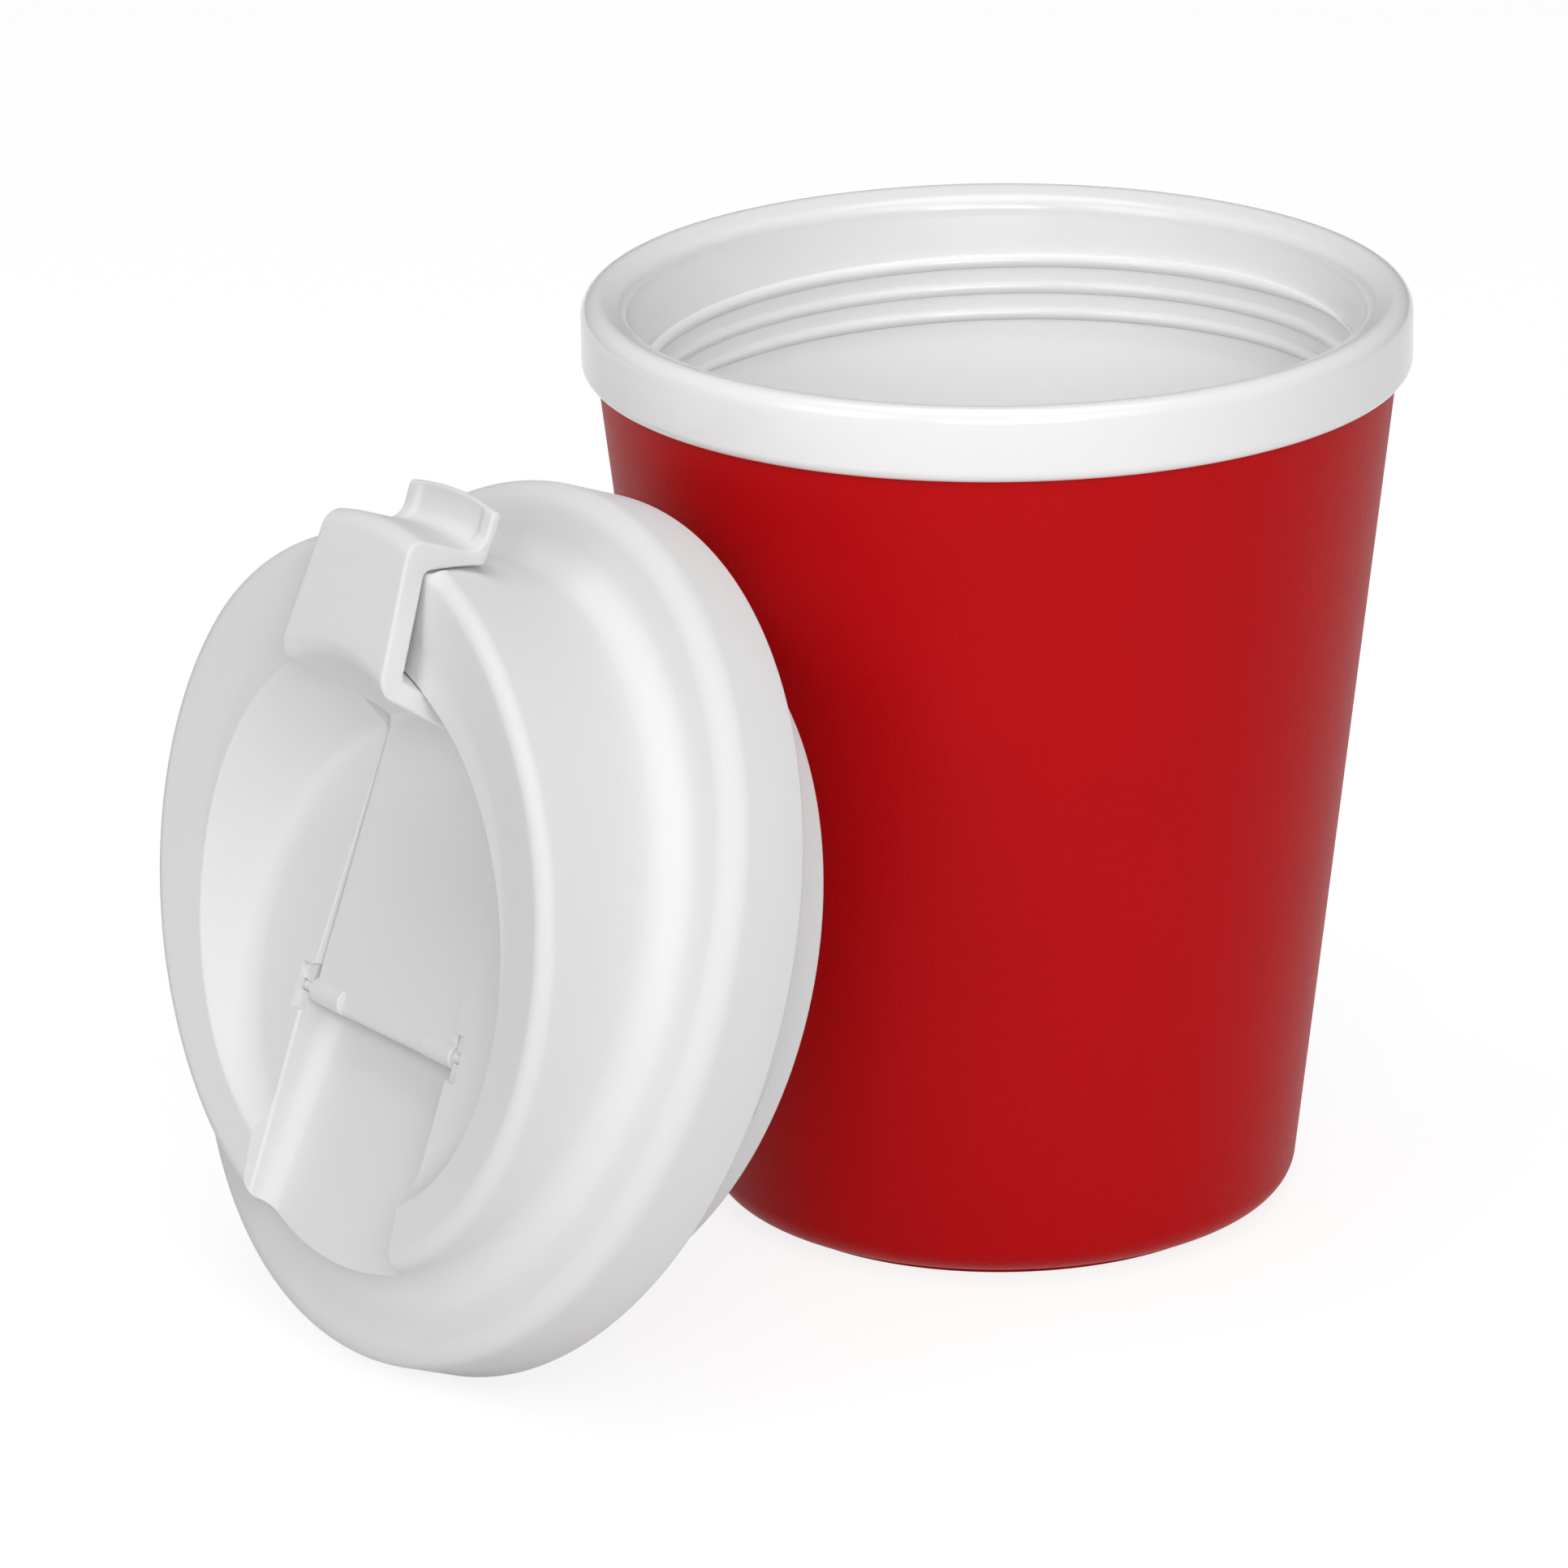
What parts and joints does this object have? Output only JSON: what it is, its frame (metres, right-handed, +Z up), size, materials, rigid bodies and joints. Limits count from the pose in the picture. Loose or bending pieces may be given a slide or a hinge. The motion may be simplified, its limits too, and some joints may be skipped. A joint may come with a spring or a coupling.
{
  "type": "lidded travel cup",
  "caption": "Double-walled plastic drinking cup with its white screw lid, which has a hinged flap, taken off and leaned against it.",
  "frame": {"origin": "centre of the cup's base, on the table", "axes": "+Z up along the cup's axis; the lid leans on the side of the cup towards -X and -Y, and its top faces -X and -Y"},
  "size_m": [0.1385, 0.1337, 0.1052],
  "materials": {
    "shell": "satin, fine grain",
    "liner": "glossy",
    "lid": "satin",
    "seal": "matte silicone"
  },
  "bodies": {
    "cup": {"outer_shell": "shell", "inner_liner": "liner", "lid_body": "lid", "lid_plug": "lid", "lid_seal": "seal"},
    "flip": {"flip_closure": "lid"}
  },
  "joints": [
    {"name": "flap_hinge", "type": "hinge", "parent": "cup", "child": "flip", "pos_m": [-0.06588, -0.05282, 0.0389], "axis": [0.5768, -0.8165, 0.0243], "range_deg": [0, 130]}
  ]
}
